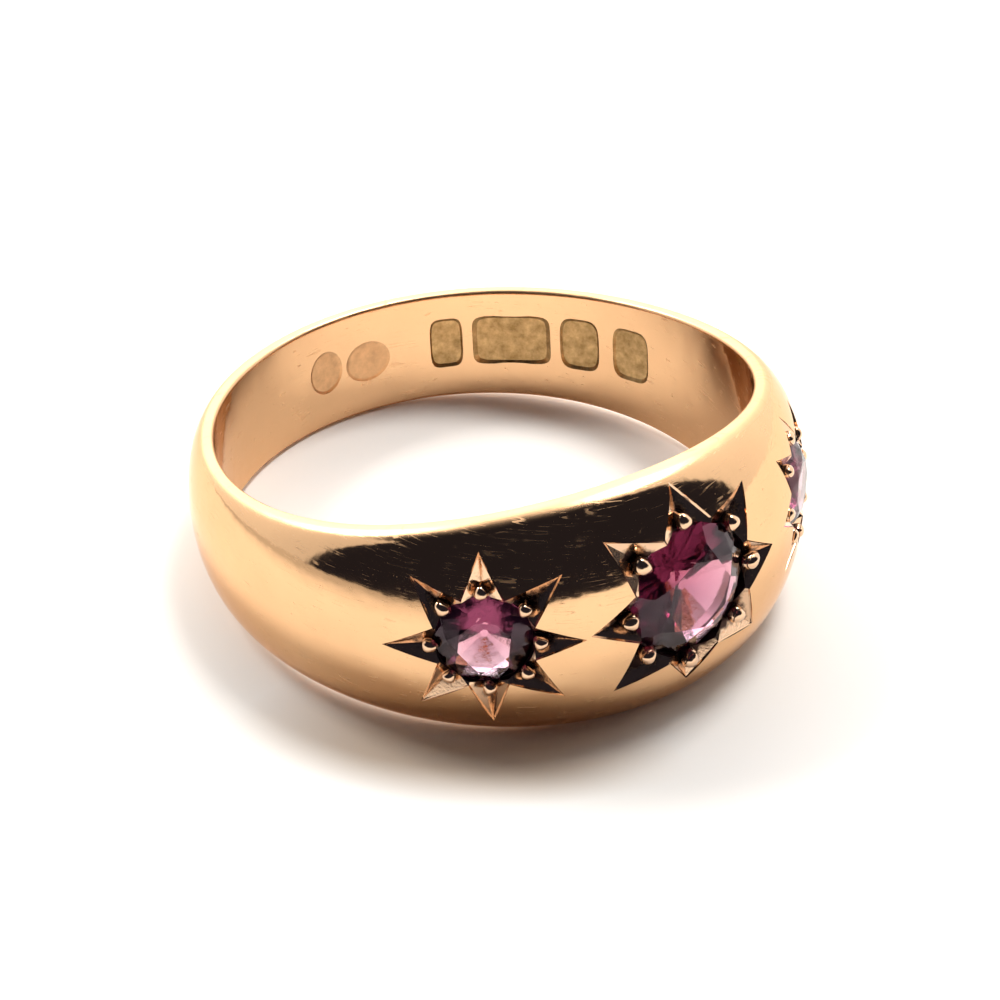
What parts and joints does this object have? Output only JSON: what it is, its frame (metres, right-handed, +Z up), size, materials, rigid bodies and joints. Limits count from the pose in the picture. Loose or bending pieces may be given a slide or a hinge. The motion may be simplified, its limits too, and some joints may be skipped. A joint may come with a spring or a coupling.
{
  "type": "flush set gypsy ring",
  "caption": "Tapered domed gold finger ring with round faceted stones set flush in engraved stars across its wide front.",
  "frame": {"origin": "centre of the footprint on the surface that the ring lies on", "axes": "+Z up from the surface, and within 7 degrees of the bore's axis; -Y towards the stones at the front"},
  "size_m": [0.0198, 0.0205, 0.0082],
  "materials": {
    "rose_gold": "polished rose gold, lightly scratched by wear",
    "pink_stone": "polished facets, transparent purple pink"
  },
  "bodies": {
    "root": {"band": "rose_gold", "stone_left": "pink_stone", "stone_center": "pink_stone", "stone_right": "pink_stone"}
  },
  "joints": []
}
